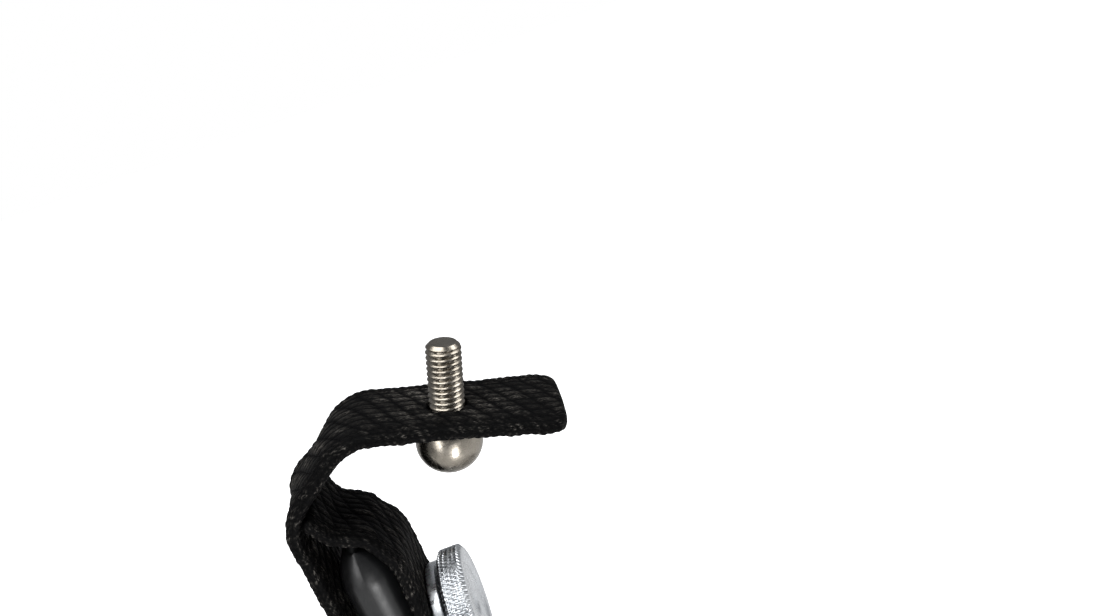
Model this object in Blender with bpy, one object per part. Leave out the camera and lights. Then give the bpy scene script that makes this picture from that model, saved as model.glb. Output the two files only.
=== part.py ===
"""Strap-steadied water bottle cage for a bicycle frame.

A moulded spine bolts along a frame tube with two knurled thumb screws on the usual 64 mm
spacing.  Two bent rods plug into it and wrap the bottle.  A webbing strap is looped over the
top of the spine, is clamped by the upper thumb screw, and is bolted by a domed screw to a
boss under the tube above it, which steadies the cage.

Frame: origin on the spine's flat back, midway between the thumb screws.  +X points from the
frame tube to the bottle, +Y across the cage, +Z up along the spine.  Sizes are in millimetres
and become metres where a mesh is made.
"""

import bmesh
import bpy
from math import acos, atan2, ceil, cos, hypot, pi, radians, sin, sqrt, tan
from mathutils import Matrix, Vector

MM = 0.001
GAP = 0.3                    # clearance kept between touching pieces
ROUND_STEPS = 28             # sides of a turned piece

# Spine
SPINE_THICK = 8.1
SPINE_SHOULDER = 44.9        # height where its rounded nose begins
SPINE_NOSE = 6.2             # height of the nose
SPINE_BOTTOM = -114.0
NOSE_NARROWING = 1.6         # how much each side of the nose draws in
SPINE_HALF_TOP = 7.0         # half width beside the strap
SPINE_HALF_LOW = 12.0        # half width where the rods plug in
SPINE_FLARE = (12.0, -6.0)   # heights between which it widens
SPINE_EDGE = 3.8             # rounding along its edges
SPINE_FOOT = 8.0             # rounding of its lower corners

# Thumb screws
SCREW_SPACING = 64.0
UPPER_Z = SCREW_SPACING / 2
LOWER_Z = -SCREW_SPACING / 2
SHANK_R = 2.5
HOLE_R = 2.85
KNOB_R = 9.2
KNOB_THICK = 4.0
WASHER_R = 8.0
WASHER_THICK = 1.6
EDGE_BREAK = 0.3             # chamfer of the washers
KNOB_BREAK = (0.7, 0.9)      # chamfers of the knob's inner and outer rims
KNOB_DISH = (2.6, 3.0, 0.3)  # shallow dish in its face: start, end and depth
SHANK_POINT = 0.6            # chamfer of a shank's tip
SLEEVE_R = 4.0
SHANK_BACK = 12.0            # reach of the shank behind the spine
PAD_R = 10.0
PAD_THICK = 1.9

# Webbing strap
WEB_WIDTH = 15.0
WEB_THICK = 2.1
FRONT_THICK = 1.6            # the layer squeezed under the upper knob
TAB_TILT = radians(17.0)     # fall of the tab towards the bottle
SEAT_X = 23.3                # the domed screw's axis on the tab's top face
SEAT_Z = 65.2
TAB_REACH = 16.4             # tab beyond the domed screw
BEND_R = 10.4
STRAP_END_Z = 19.5
STRAP_CORNER = 3.5
FRONT_START = (0.95, 57.95)  # where the front layer leaves the back layer

# Domed screw
DOME_R = 4.75
DOME_CROWN = 4.5             # rounded part of its head
DOME_SKIRT = 2.5             # straight part above that
DOME_WASHER_R = 5.3
DOME_WASHER_THICK = 0.7
DOME_SHANK = 9.0             # reach of its shank above the tab
HEX_R = 1.75
HEX_DEEP = 1.8

# Bottle space and rods
BOTTLE_X = 54.5
RING_R = 41.3
ROD_R = 2.5
RING_Z = -42.0               # at the spine
RING_FALL = 0.12             # drop of the ring for each unit forward
RING_FROM = radians(60.0)    # angles round the bottle, from the spine
RING_TO = radians(145.0)
SHELF_Z = -108.0
SHELF_REAR_Y = 7.0
ROD_BENDS = (8.0, RING_R, 9.0, 12.0)
ROD_STEP = radians(11.0)

# Rubber and clips
GRIP_R = 3.8
RING_GRIP = (radians(76.0), radians(108.0))
SHELF_GRIP = (64.0, 79.0)
CLIP_WALL = 2.0
CLIP_HIGH = 13.0
FRONT_CLIP_Z = -79.0
SHELF_CLIP_X = 46.0
BUMPER_HALF = (8.0, 13.0)
BUMPER_Z = -75.0
BUMPER_FRONT = 16.8


# ---------------------------------------------------------------- helpers

def clear_scene():
    for item in list(bpy.data.objects):
        bpy.data.objects.remove(item, do_unlink=True)


def material(name, colour, roughness, metallic=0.0):
    made = bpy.data.materials.new(name)
    made.use_nodes = True
    shader = made.node_tree.nodes["Principled BSDF"]
    shader.inputs["Base Color"].default_value = (*colour, 1.0)
    shader.inputs["Roughness"].default_value = roughness
    shader.inputs["Metallic"].default_value = metallic
    return made


def add_object(name, bm, finish, place=(0, 0, 0), axis=None):
    """Object from a bmesh in millimetres, with its local Z turned to the axis given."""
    bmesh.ops.recalc_face_normals(bm, faces=bm.faces)
    bmesh.ops.scale(bm, vec=(MM, MM, MM), verts=bm.verts)
    mesh = bpy.data.meshes.new(name)
    bm.to_mesh(mesh)
    bm.free()
    mesh.shade_smooth()
    mesh.set_sharp_from_angle(angle=radians(35))
    if finish:
        mesh.materials.append(finish)
    made = bpy.data.objects.new(name, mesh)
    made.location = Vector(place) * MM
    if axis is not None:
        made.rotation_euler = Vector(axis).to_track_quat("Z", "Y").to_euler()
    bpy.context.collection.objects.link(made)
    return made


def turned(name, profile, finish, place, axis, steps=ROUND_STEPS):
    """Solid of revolution; the profile lists (radius, height) round its outline."""
    bm = bmesh.new()
    rim = [bm.verts.new((r, 0, h)) for r, h in profile]
    on_axis = profile[0][0] == 0 and profile[-1][0] == 0
    pairs = list(zip(rim, rim[1:])) + ([] if on_axis else [(rim[-1], rim[0])])
    edges = [bm.edges.new(pair) for pair in pairs]
    bmesh.ops.spin(bm, geom=rim + edges, axis=(0, 0, 1), cent=(0, 0, 0),
                   steps=steps, angle=2 * pi, use_merge=True, use_duplicate=False)
    bmesh.ops.remove_doubles(bm, verts=bm.verts, dist=0.001)
    return add_object(name, bm, finish, place, axis)


def loft(name, rings, finish):
    """Closed body through rings of equal length."""
    bm = bmesh.new()
    loops = [[bm.verts.new(point) for point in ring] for ring in rings]
    for low, high in zip(loops, loops[1:]):
        for i in range(len(low)):
            j = (i + 1) % len(low)
            bm.faces.new((low[i], low[j], high[j], high[i]))
    bm.faces.new(loops[0])
    bm.faces.new(loops[-1])
    return add_object(name, bm, finish)


def cut(target, cutter):
    """Boolean difference whose cutter stays as a hidden guide."""
    cutter.hide_render = True
    cutter.display_type = "WIRE"
    step = target.modifiers.new(cutter.name, "BOOLEAN")
    step.operation = "DIFFERENCE"
    step.solver = "EXACT"
    step.object = cutter


def bore(target, name, radius, place, axis, length, steps=20):
    """Cut a round hole that starts at a place and runs along an axis."""
    outline = [(0, 0), (radius, 0), (radius, length), (0, length)]
    cut(target, turned(name, outline, None, place, axis, steps))


def fillet_path(corners, radii):
    """Points along straight runs joined by round bends, one bend per inner corner."""
    points = [Vector(corners[0])]
    for before, corner, after, radius in zip(corners, corners[1:], corners[2:], radii):
        corner = Vector(corner)
        back = (Vector(before) - corner).normalized()
        ahead = (Vector(after) - corner).normalized()
        half = back.angle(ahead) / 2
        turn = pi - 2 * half
        centre = corner + (back + ahead).normalized() * (radius / sin(half))
        start = corner + back * (radius / tan(half)) - centre
        spin_axis = start.cross(corner + ahead * (radius / tan(half)) - centre).normalized()
        side = spin_axis.cross(start)
        steps = max(3, ceil(turn / ROD_STEP))
        for i in range(steps + 1):
            angle = turn * i / steps
            points.append(centre + start * cos(angle) + side * sin(angle))
    points.append(Vector(corners[-1]))
    return points


# ---------------------------------------------------------------- spine

def spine_section(z, x0, x1, half, edge, steps=4):
    """Rounded rectangle across the spine at one height."""
    edge = min(edge, (x1 - x0) / 2 - 0.05, half - 0.05)
    centres = [(x1 - edge, half - edge), (x0 + edge, half - edge),
               (x0 + edge, edge - half), (x1 - edge, edge - half)]
    ring = []
    for quarter, (cx, cy) in enumerate(centres):
        for i in range(steps + 1):
            angle = (quarter + i / steps) * pi / 2
            ring.append((cx + edge * cos(angle), cy + edge * sin(angle), z))
    return ring


def spine_half_width(z):
    high, low = SPINE_FLARE
    share = min(1.0, max(0.0, (high - z) / (high - low)))
    share = share * share * (3 - 2 * share)
    half = SPINE_HALF_TOP + (SPINE_HALF_LOW - SPINE_HALF_TOP) * share
    foot = SPINE_BOTTOM + SPINE_FOOT - z
    if foot > 0:
        half -= SPINE_FOOT - sqrt(max(0.0, SPINE_FOOT ** 2 - foot ** 2))
    return half


def make_spine(finish):
    middle = SPINE_THICK / 2
    heights = [SPINE_BOTTOM + SPINE_FOOT * (1 - cos(radians(a))) for a in (0, 25, 45, 60, 75, 90)]
    heights += [-60.0] + [SPINE_FLARE[1] + i * (SPINE_FLARE[0] - SPINE_FLARE[1]) / 6 for i in range(7)]
    rings = [spine_section(z, 0, SPINE_THICK, spine_half_width(z), SPINE_EDGE) for z in heights]
    for angle in (0, 16, 31, 45, 58, 70, 80):
        rise = SPINE_NOSE * sin(radians(angle))
        half_x = middle * cos(radians(angle))
        half_y = SPINE_HALF_TOP - NOSE_NARROWING * (1 - cos(radians(angle)))
        rings.append(spine_section(SPINE_SHOULDER + rise, middle - half_x, middle + half_x,
                                   half_y, SPINE_EDGE))
    spine = loft("spine", rings, finish)
    for label, z in (("upper", UPPER_Z), ("lower", LOWER_Z)):
        bore(spine, label + "_sleeve_cut", SLEEVE_R + GAP, (-2, 0, z), (1, 0, 0), SPINE_THICK + 4,
             ROUND_STEPS)
    for label, side in (("left", -1), ("right", 1)):
        corners = rod_corners(side)
        for end, mouth, inner in (("ring", corners[1], corners[0]), ("shelf", corners[-2], corners[-1])):
            way = (Vector(mouth) - Vector(inner)).normalized()
            start = Vector(inner) - way * GAP
            bore(spine, f"{label}_{end}_socket_cut", ROD_R + GAP, start, way, SPINE_HALF_LOW * 1.5)
    return spine


# ---------------------------------------------------------------- thumb screws

def make_thumb_screw(label, z, seat_x, plated, steel):
    """Knurled screw, its washer and the sleeve that it clamps through."""
    head = seat_x + WASHER_THICK + GAP
    reach = head + SHANK_BACK
    turned(label + "_washer",
           [(HOLE_R, 0), (WASHER_R - EDGE_BREAK, 0), (WASHER_R, EDGE_BREAK),
            (WASHER_R, WASHER_THICK - EDGE_BREAK), (WASHER_R - EDGE_BREAK, WASHER_THICK),
            (HOLE_R, WASHER_THICK)],
           steel, (seat_x, 0, z), (1, 0, 0))
    inner_break, outer_break = KNOB_BREAK
    dish_out, dish_in, dish_deep = KNOB_DISH
    turned(label + "_thumb_screw",
           [(0, -reach), (SHANK_R - SHANK_POINT, -reach), (SHANK_R, SHANK_POINT - reach), (SHANK_R, 0),
            (KNOB_R - inner_break, 0), (KNOB_R, inner_break), (KNOB_R, KNOB_THICK - outer_break),
            (KNOB_R - outer_break, KNOB_THICK), (KNOB_R - dish_out, KNOB_THICK),
            (KNOB_R - dish_in, KNOB_THICK - dish_deep), (0, KNOB_THICK - dish_deep)],
           plated, (head, 0, z), (1, 0, 0))
    turned(label + "_sleeve", [(HOLE_R, 0.05), (SLEEVE_R, 0.05), (SLEEVE_R, SPINE_THICK - 0.05),
                               (HOLE_R, SPINE_THICK - 0.05)],
           steel, (0, 0, z), (1, 0, 0), 20)


def make_lower_pad(rubber):
    turned("lower_pad", [(HOLE_R + 0.4, 0), (PAD_R, 0), (PAD_R, PAD_THICK), (HOLE_R + 0.4, PAD_THICK)],
           rubber, (-GAP - PAD_THICK, 0, LOWER_Z), (1, 0, 0))


# ---------------------------------------------------------------- strap

def band(name, stations, finish):
    """Webbing from stations of (point x, point z, heading angle, half width, half thickness)."""
    rings = []
    for x, z, heading, half, thick in stations:
        nx, nz = -sin(heading) * thick, cos(heading) * thick
        rings.append([(x + nx, half, z + nz), (x + nx, -half, z + nz),
                      (x - nx, -half, z - nz), (x - nx, half, z - nz)])
    return loft(name, rings, finish)


def corner_width(distance):
    """Half width of the webbing a short way in from a cut end with rounded corners."""
    short = max(0.0, STRAP_CORNER - distance)
    return WEB_WIDTH / 2 - STRAP_CORNER + sqrt(STRAP_CORNER ** 2 - short ** 2)


def end_steps():
    return [STRAP_CORNER * share for share in (0.02, 0.15, 0.4, 1.0)]


def tab_frame():
    """Seat centre, direction along the tab, and its normal."""
    seat = Vector((SEAT_X, 0, SEAT_Z))
    along = Vector((cos(TAB_TILT), 0, -sin(TAB_TILT)))
    normal = Vector((sin(TAB_TILT), 0, cos(TAB_TILT)))
    return seat, along, normal


def fold_axis():
    """Middle of the webbing where its bend meets the layer behind the spine."""
    seat, _, normal = tab_frame()
    middle = seat - normal * (WEB_THICK / 2)
    back_x = -GAP - WEB_THICK / 2
    corner_z = middle.z + (middle.x - back_x) * tan(TAB_TILT)
    tangent = BEND_R * tan((pi / 2 + TAB_TILT) / 2)
    return back_x, corner_z - tangent, corner_z, tangent


def make_strap_upper(webbing):
    seat, along, normal = tab_frame()
    thick = WEB_THICK / 2
    end = seat - normal * thick + along * TAB_REACH
    heading = pi - TAB_TILT
    stations = []
    for step in end_steps():
        place = end - along * step
        stations.append((place.x, place.z, heading, corner_width(step), thick))
    back_x, fold_z, corner_z, tangent = fold_axis()
    centre_x = back_x + BEND_R
    steps = 12
    for i in range(steps + 1):
        angle = pi / 2 - TAB_TILT + (pi / 2 + TAB_TILT) * i / steps
        stations.append((centre_x + BEND_R * cos(angle), fold_z + BEND_R * sin(angle),
                         angle + pi / 2, WEB_WIDTH / 2, thick))
    for share in (0.35, 0.65, 0.88, 0.99):
        stations.append((back_x, fold_z - thick * share, 1.5 * pi, WEB_WIDTH / 2,
                         thick * sqrt(1 - share ** 2)))
    strap = band("strap_upper", stations, webbing)
    bore(strap, "tab_hole_cut", HOLE_R + 0.2, seat - normal * (WEB_THICK + 2), normal, WEB_THICK + 4)
    return strap


def make_strap_back(webbing):
    back_x, fold_z, _, _ = fold_axis()
    top = fold_z - WEB_THICK / 2 - GAP
    stations = [(back_x, top, 1.5 * pi, WEB_WIDTH / 2, WEB_THICK / 2)]
    for step in reversed(end_steps()):
        stations.append((back_x, STRAP_END_Z + step, 1.5 * pi, corner_width(step), WEB_THICK / 2))
    strap = band("strap_back", stations, webbing)
    bore(strap, "strap_back_hole_cut", HOLE_R + 0.2, (-6, 0, UPPER_Z), (1, 0, 0), 8)
    return strap


def make_strap_front(webbing):
    """Layer that runs straight to the spine's rounded nose, over it and down its front."""
    centre_x = SPINE_THICK / 2
    half = FRONT_THICK / 2
    wrap_x = centre_x + GAP + half
    wrap_z = SPINE_NOSE + GAP + half
    # squeezing heights by this makes the wrap round, which gives the angle where the strap touches it
    squeeze = wrap_x / wrap_z
    dx = centre_x - FRONT_START[0]
    dz = (FRONT_START[1] - SPINE_SHOULDER) * squeeze
    first = atan2(dz, -dx) - acos(wrap_x / hypot(dx, dz))
    touch = (centre_x + wrap_x * cos(first), SPINE_SHOULDER + wrap_z * sin(first))
    heading = atan2(touch[1] - FRONT_START[1], touch[0] - FRONT_START[0])
    stations = [(*FRONT_START, heading, WEB_WIDTH / 2, half)]
    steps = 8
    for i in range(steps + 1):
        angle = first * (1 - i / steps)
        stations.append((centre_x + wrap_x * cos(angle), SPINE_SHOULDER + wrap_z * sin(angle),
                         atan2(-wrap_z * cos(angle), wrap_x * sin(angle)), WEB_WIDTH / 2, half))
    for step in reversed(end_steps()):
        stations.append((centre_x + wrap_x, STRAP_END_Z + step, -pi / 2, corner_width(step), half))
    strap = band("strap_front", stations, webbing)
    bore(strap, "strap_front_hole_cut", HOLE_R + 0.2, (SPINE_THICK - 2, 0, UPPER_Z), (1, 0, 0), 8)
    return strap


def make_dome_screw(stainless):
    seat, _, normal = tab_frame()
    washer_top = seat - normal * (WEB_THICK + GAP)
    turned("dome_washer", [(HOLE_R, 0), (DOME_WASHER_R, 0), (DOME_WASHER_R, DOME_WASHER_THICK),
                           (HOLE_R, DOME_WASHER_THICK)],
           stainless, washer_top - normal * DOME_WASHER_THICK, normal)
    under = washer_top - normal * (DOME_WASHER_THICK + GAP)
    stack = WEB_THICK + 2 * GAP + DOME_WASHER_THICK + DOME_SHANK
    dome = [(DOME_R * sin(radians(a)), -DOME_SKIRT - DOME_CROWN * cos(radians(a)))
            for a in range(0, 91, 10)] + [(DOME_R, 0)]
    profile = dome + [(SHANK_R, 0), (SHANK_R, stack - SHANK_POINT), (SHANK_R - SHANK_POINT, stack),
                      (0, stack)]
    screw = turned("dome_screw", profile, stainless, under, normal)
    socket = turned("dome_hex_cut", [(0, 0), (HEX_R, 0), (HEX_R, HEX_DEEP + 1), (0, HEX_DEEP + 1)],
                    None, under - normal * (DOME_SKIRT + DOME_CROWN + 1), normal, 6)
    cut(screw, socket)


# ---------------------------------------------------------------- rods

def ring_point(angle, side, radius=RING_R):
    """Place on the bottle ring, with its angle counted from the spine."""
    x = BOTTLE_X - radius * cos(angle)
    return (x, side * radius * sin(angle), RING_Z - RING_FALL * (x - SPINE_THICK / 2))


def rod_corners(side):
    """Corners of one rod's straight runs, from its ring socket to its shelf socket."""
    middle_x = SPINE_THICK / 2
    tangent = ring_point(RING_FROM, 1)
    first_y = tangent[1] - (tangent[0] - middle_x) * cos(RING_FROM) / sin(RING_FROM)
    half_arc = (RING_TO - RING_FROM) / 2
    outer = ring_point((RING_FROM + RING_TO) / 2, side, RING_R / cos(half_arc))
    leave = ring_point(RING_TO, 1)
    front_x = leave[0] + ROD_BENDS[2] * sin(RING_TO)
    front_y = side * (leave[1] + ROD_BENDS[2] * cos(RING_TO))
    front_z = RING_Z - RING_FALL * (front_x - middle_x)
    return [(middle_x, side * 4.5, RING_Z), (middle_x, side * first_y, RING_Z), outer,
            (front_x, front_y, front_z), (front_x, front_y, SHELF_Z),
            (2.0, side * SHELF_REAR_Y, SHELF_Z)]


def make_rod(label, side, finish):
    points = fillet_path(rod_corners(side), ROD_BENDS)
    curve = bpy.data.curves.new(label + "_rod", "CURVE")
    curve.dimensions = "3D"
    curve.bevel_depth = ROD_R * MM
    curve.bevel_resolution = 3
    curve.use_fill_caps = True
    spline = curve.splines.new("POLY")
    spline.points.add(len(points) - 1)
    for target, point in zip(spline.points, points):
        target.co = (*(point * MM), 1.0)
    curve.materials.append(finish)
    rod = bpy.data.objects.new(label + "_rod", curve)
    bpy.context.collection.objects.link(rod)


def sleeve(name, points, rubber, inner=ROD_R + GAP, outer=GRIP_R, sides=12):
    """Rubber tube pushed over a run of rod."""
    bm = bmesh.new()
    walls = []
    for i, point in enumerate(points):
        ahead = (points[min(i + 1, len(points) - 1)] - points[max(i - 1, 0)]).normalized()
        across = ahead.cross(Vector((0, 0, 1))).normalized()
        up = across.cross(ahead)
        for radius in (outer, inner):
            walls.append([bm.verts.new(point + (across * cos(2 * pi * k / sides)
                                                + up * sin(2 * pi * k / sides)) * radius)
                          for k in range(sides)])
    outside, inside = walls[0::2], walls[1::2]
    loops = outside + inside[::-1] + outside[:1]
    for low, high in zip(loops, loops[1:]):
        for k in range(sides):
            j = (k + 1) % sides
            bm.faces.new((low[k], low[j], high[j], high[k]))
    return add_object(name, bm, rubber)


def shelf_run(side):
    """Start and direction of the run under the bottle, from the front."""
    front, rear = (Vector(point) for point in rod_corners(side)[-2:])
    return front, (rear - front).normalized()


def shelf_point(side, x):
    front, way = shelf_run(side)
    return front + way * ((x - front.x) / way.x)


def make_grips(rubber):
    for label, side in (("left", -1), ("right", 1)):
        steps = 7
        arc = [Vector(ring_point(RING_GRIP[0] + (RING_GRIP[1] - RING_GRIP[0]) * i / steps, side))
               for i in range(steps + 1)]
        sleeve(label + "_ring_grip", arc, rubber)
        sleeve(label + "_shelf_grip", [shelf_point(side, x) for x in SHELF_GRIP], rubber)


def rounded_block(name, low, high, edge, finish):
    """Block with rounded edges between two corners."""
    bm = bmesh.new()
    bmesh.ops.create_cube(bm, size=1.0)
    size = Vector(high) - Vector(low)
    bmesh.ops.scale(bm, vec=size, verts=bm.verts)
    bmesh.ops.translate(bm, vec=(Vector(high) + Vector(low)) / 2, verts=bm.verts)
    bmesh.ops.bevel(bm, geom=list(bm.edges), offset=edge, segments=2, affect="EDGES", profile=0.5)
    return add_object(name, bm, finish)


def snap_groove(clip, name, start, way, length, mouth):
    """Groove for a rod and the narrower mouth that it snaps in through."""
    bore(clip, name + "_cut", ROD_R + GAP, start, way, length)
    bm = bmesh.new()
    bmesh.ops.create_cube(bm, size=1.0)
    bmesh.ops.scale(bm, vec=(2 * (ROD_R - 0.3), 8.0, length), verts=bm.verts)
    bmesh.ops.translate(bm, vec=(0, 4.0, length / 2), verts=bm.verts)
    slot = add_object(name + "_mouth_cut", bm, None, start)
    way = Vector(way).normalized()
    across = Vector(mouth).cross(way).normalized()
    up = way.cross(across)
    turn = [[across[i], up[i], way[i]] for i in range(3)]
    slot.rotation_euler = Matrix(turn).to_euler()
    cut(clip, slot)


def make_clips(plastic):
    """Two moulded bridges that tie the rods together in front of and under the bottle."""
    front_x, front_y, _ = rod_corners(1)[3]
    reach = front_y + ROD_R + GAP + CLIP_WALL
    clip = rounded_block("front_clip", (front_x - 1.4, -reach, FRONT_CLIP_Z - CLIP_HIGH / 2),
                         (front_x + ROD_R + GAP + CLIP_WALL, reach, FRONT_CLIP_Z + CLIP_HIGH / 2),
                         1.2, plastic)
    for label, side in (("left", -1), ("right", 1)):
        start = (front_x, side * front_y, FRONT_CLIP_Z - CLIP_HIGH)
        snap_groove(clip, label + "_front_groove", start, (0, 0, 1), 2 * CLIP_HIGH, (-1, 0, 0))
    rod_y = shelf_point(1, SHELF_CLIP_X).y
    reach = rod_y + ROD_R + GAP + CLIP_WALL + 0.4
    clip = rounded_block("shelf_clip", (SHELF_CLIP_X - CLIP_HIGH / 2, -reach, SHELF_Z - 1.4),
                         (SHELF_CLIP_X + CLIP_HIGH / 2, reach, SHELF_Z + ROD_R + GAP + 1.2),
                         1.2, plastic)
    for label, side in (("left", -1), ("right", 1)):
        _, way = shelf_run(side)
        start = shelf_point(side, SHELF_CLIP_X + CLIP_HIGH)
        snap_groove(clip, label + "_shelf_groove", start, way, 2 * CLIP_HIGH, (0, 0, -1))


def make_rear_bumper(rubber):
    """Rubber block on the spine, hollowed to the bottle's radius."""
    half_y, half_z = BUMPER_HALF
    bumper = rounded_block("rear_bumper", (SPINE_THICK + GAP, -half_y, BUMPER_Z - half_z),
                           (BUMPER_FRONT + 1.6, half_y, BUMPER_Z + half_z), 1.6, rubber)
    bottle_r = BOTTLE_X - BUMPER_FRONT
    bore(bumper, "bumper_bottle_cut", bottle_r, (BOTTLE_X, 0, BUMPER_Z - 2 * half_z), (0, 0, 1),
         4 * half_z, 96)


# ---------------------------------------------------------------- assembly

def main():
    clear_scene()
    gloss_black = material("gloss_black_plastic", (0.012, 0.012, 0.013), 0.16)
    black_coat = material("black_rod_coat", (0.015, 0.015, 0.016), 0.28, 0.2)
    matt_black = material("matt_black_plastic", (0.02, 0.02, 0.021), 0.5)
    rubber = material("black_rubber", (0.018, 0.018, 0.018), 0.75)
    webbing = material("black_webbing", (0.013, 0.013, 0.014), 0.85)
    zinc = material("zinc_plated_steel", (0.62, 0.64, 0.66), 0.28, 1.0)
    stainless = material("stainless_steel", (0.5, 0.46, 0.4), 0.25, 1.0)

    make_spine(gloss_black)
    strap_front_face = SPINE_THICK + GAP + FRONT_THICK
    make_thumb_screw("upper", UPPER_Z, strap_front_face + GAP, zinc, zinc)
    make_thumb_screw("lower", LOWER_Z, SPINE_THICK + GAP, zinc, zinc)
    make_lower_pad(rubber)
    make_strap_upper(webbing)
    make_strap_back(webbing)
    make_strap_front(webbing)
    make_dome_screw(stainless)
    for label, side in (("left", -1), ("right", 1)):
        make_rod(label, side, black_coat)
    make_grips(rubber)
    make_clips(matt_black)
    make_rear_bumper(rubber)


main()
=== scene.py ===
"""Looks of a strap-steadied water bottle cage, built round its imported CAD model.

Lengths are in millimetres until a mesh is made; MM turns them into metres.  +X points from the
frame tube to the bottle, +Y away from the camera, +Z up along the spine.
"""

import math

import bmesh
import bpy
import numpy as np
from mathutils import Matrix, Vector


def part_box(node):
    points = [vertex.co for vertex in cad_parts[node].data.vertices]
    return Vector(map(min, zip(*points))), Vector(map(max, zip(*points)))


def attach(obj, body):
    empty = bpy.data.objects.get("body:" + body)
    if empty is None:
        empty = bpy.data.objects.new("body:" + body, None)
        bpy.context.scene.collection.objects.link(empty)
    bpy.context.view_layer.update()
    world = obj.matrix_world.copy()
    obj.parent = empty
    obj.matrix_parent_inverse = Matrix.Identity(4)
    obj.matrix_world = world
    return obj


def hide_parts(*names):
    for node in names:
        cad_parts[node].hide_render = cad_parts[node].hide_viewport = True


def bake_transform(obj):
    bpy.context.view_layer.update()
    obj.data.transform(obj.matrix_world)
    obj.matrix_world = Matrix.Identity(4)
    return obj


MM = 0.001
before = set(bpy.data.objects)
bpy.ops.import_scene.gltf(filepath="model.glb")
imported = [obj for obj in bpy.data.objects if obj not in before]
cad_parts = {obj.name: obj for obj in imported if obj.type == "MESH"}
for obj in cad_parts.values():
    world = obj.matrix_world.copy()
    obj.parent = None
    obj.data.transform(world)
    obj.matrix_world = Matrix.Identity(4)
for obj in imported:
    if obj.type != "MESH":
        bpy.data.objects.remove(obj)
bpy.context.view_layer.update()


def millimetres(node):
    """Lowest and highest corner of a CAD node, in millimetres."""
    low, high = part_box(node)
    return Vector(low) / MM, Vector(high) / MM


# ------------ shared sizes

# Read from the frame: the spine, and the heights of the two thumb screws
SPINE_LOW, SPINE_HIGH = millimetres("spine")
SPINE_THICK = SPINE_HIGH.x
UPPER_Z, LOWER_Z = ((low.z + high.z) / 2 for low, high in map(millimetres, ("upper_washer", "lower_washer")))

GAP = 0.3                     # clearance between separate pieces
X_AXIS = (1, 0, 0)

# Webbing
WEB_WIDTH = 15.0
WEB_THICK = 2.1
FRONT_THICK = 1.9             # the layer over the spine's nose
TAB_TILT = math.radians(17.0)
TAB_NORMAL = Vector((math.sin(TAB_TILT), 0, math.cos(TAB_TILT)))
SEAT = (23.3, 65.2)           # domed screw's axis on the tab's top face, x and z
SEAT_POINT = Vector((SEAT[0], 0, SEAT[1]))
TAB_END = 16.2                # from that axis to the tab's cut end
STRAP_BACK_X = -1.35          # middle of the layer behind the spine
STRAP_LOW_Z = 19.6            # cut end of both layers
HOLE_R = 2.85                 # holes for M5 in the strap and the washers

# Bottle and rods
BOTTLE_X = 54.5
BOTTLE_R = 37.7               # with its clearance, as hollowed out of the bumper
RING_R = 41.3
ROD_R = 2.5
RING_Z = -42.0                # where the ring leaves the spine
RING_FALL = 0.12              # drop of the ring for each millimetre forwards
RING_FROM = math.radians(60.0)
RING_TO = math.radians(145.0)
RING_END_Y = 4.5              # rod's end inside the spine
SHELF_Z = -108.0
SHELF_END = (2.0, 7.0)        # the rod's other end, x and y
ROD_BENDS = (8.0, RING_R, 9.0, 12.0)


# ------------ mesh helpers

AXIS_R = 1e-6                 # a profile that starts within this radius starts on the axis
ARC_SHARE = 0.45              # most of a side that a corner's arc may take up
HIDDEN = bpy.data.materials.new("cutter")


def build(name, shells, finish, sharp=40.0, uv=None, painted_sheen=None):
    """One mesh object from shells of (points in millimetres, faces)."""
    points, faces, start = [], [], 0
    for shell_points, shell_faces in shells:
        points.append(np.asarray(shell_points, float).reshape(-1, 3))
        faces.extend([tuple(index + start for index in face) for face in shell_faces])
        start += len(points[-1])
    points = np.concatenate(points) * MM
    mesh = bpy.data.meshes.new(name)
    mesh.from_pydata(points.tolist(), [], faces)
    mesh.validate()
    if uv is not None:
        layer = mesh.uv_layers.new(name="weave")
        index = np.zeros(len(mesh.loops), np.int32)
        mesh.loops.foreach_get("vertex_index", index)
        layer.data.foreach_set("uv", np.asarray(uv, np.float32)[index].ravel())
    # painted sheen for each point, kept as a mesh attribute for the webbing's material
    if painted_sheen is not None:
        attribute = mesh.attributes.new("painted_sheen", "FLOAT", "POINT")
        attribute.data.foreach_set("value", np.asarray(painted_sheen, np.float32))
    mesh.shade_smooth()
    if sharp:
        mesh.set_sharp_from_angle(angle=math.radians(sharp))
    mesh.materials.append(finish)
    made = bpy.data.objects.new(name, mesh)
    bpy.context.collection.objects.link(made)
    return made


def tidy_normals(made):
    """Faces all outwards, and points that coincide merged."""
    bm = bmesh.new()
    bm.from_mesh(made.data)
    bmesh.ops.remove_doubles(bm, verts=bm.verts, dist=1e-7)
    bmesh.ops.recalc_face_normals(bm, faces=bm.faces)
    bm.to_mesh(made.data)
    bm.free()
    return made


def tube_faces(rows, columns):
    """Quads of a tube whose rings follow one another."""
    return [(r * columns + c, r * columns + (c + 1) % columns,
             (r + 1) * columns + (c + 1) % columns, (r + 1) * columns + c)
            for r in range(rows - 1) for c in range(columns)]


def capped_tube(rows, columns):
    """Faces of a tube closed at both ends by fans round two more points, listed after its rings."""
    low, high, last = rows * columns, rows * columns + 1, (rows - 1) * columns
    faces = tube_faces(rows, columns)
    faces += [(low, (c + 1) % columns, c) for c in range(columns)]
    faces += [(high, last + c, last + (c + 1) % columns) for c in range(columns)]
    return faces


def looped_tube(rows, columns):
    """Faces of a tube whose last ring is joined to its first."""
    last = (rows - 1) * columns
    faces = tube_faces(rows, columns)
    faces += [(last + c, last + (c + 1) % columns, (c + 1) % columns, c) for c in range(columns)]
    return faces


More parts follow.
